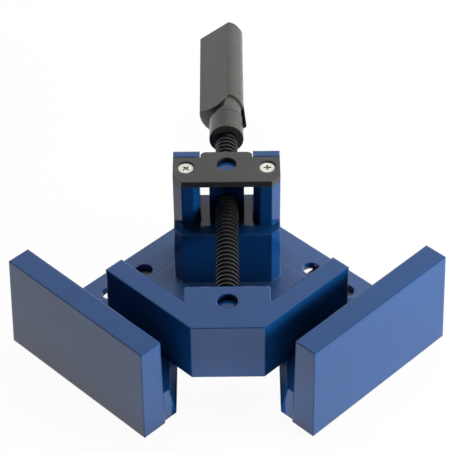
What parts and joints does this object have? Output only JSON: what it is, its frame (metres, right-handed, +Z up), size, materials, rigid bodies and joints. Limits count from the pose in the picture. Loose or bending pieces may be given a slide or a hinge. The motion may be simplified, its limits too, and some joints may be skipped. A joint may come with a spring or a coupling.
{
  "type": "corner clamp",
  "caption": "Corner clamp with right-angle fences and a floating jaw that a lead screw with a paddle handle pushes along the diagonal.",
  "frame": {"origin": "work corner where the planes of the fence faces meet, on the resting plane", "axes": "+X along the right fence, +Y along the left fence, +Z up; the diagonal of +X and +Y points to the handle"},
  "size_m": [0.1919, 0.195, 0.057],
  "materials": {
    "blue_paint": "gloss",
    "black_coat": "satin",
    "nickel_plate": "satin",
    "black_oxide": "satin",
    "zinc_plate": "satin",
    "handle_plastic": "satin"
  },
  "bodies": {
    "base": {"base_casting": "blue_paint", "retainer_plate": "black_coat", "retainer_screw_left": "nickel_plate", "retainer_screw_right": "nickel_plate"},
    "nut": {"swivel_nut": "blue_paint"},
    "carriage": {"pivot_pin": "blue_paint", "thrust_washer_rear": "zinc_plate", "thrust_washer_front": "zinc_plate"},
    "spindle": {"lead_screw": "black_oxide", "handle_grip": "handle_plastic", "retaining_ring": "zinc_plate"},
    "jaw": {"jaw_casting": "blue_paint"}
  },
  "joints": [
    {"name": "nut_swivel", "type": "hinge", "parent": "base", "child": "nut", "pos_m": [0.08917, 0.08917, 0.04], "axis": [0, 0, 1], "range_deg": [-3, 3]},
    {"name": "jaw_travel", "type": "slide", "parent": "nut", "child": "carriage", "axis": [-0.7071, -0.7071, 0], "range_m": [-0.044, 0.0085]},
    {"name": "screw_turn", "type": "hinge", "parent": "carriage", "child": "spindle", "pos_m": [0.03681, 0.03681, 0.0386], "axis": [-0.7071, -0.7071, 0], "range_deg": [-6238, 1206]},
    {"name": "jaw_swivel", "type": "hinge", "parent": "carriage", "child": "jaw", "pos_m": [0.03681, 0.03681, 0.03], "axis": [0, 0, 1], "range_deg": [-3, 3]}
  ],
  "couplings": [
    {"joint": "screw_turn", "follows": "jaw_travel", "rad_per_m": 2473.7}
  ]
}
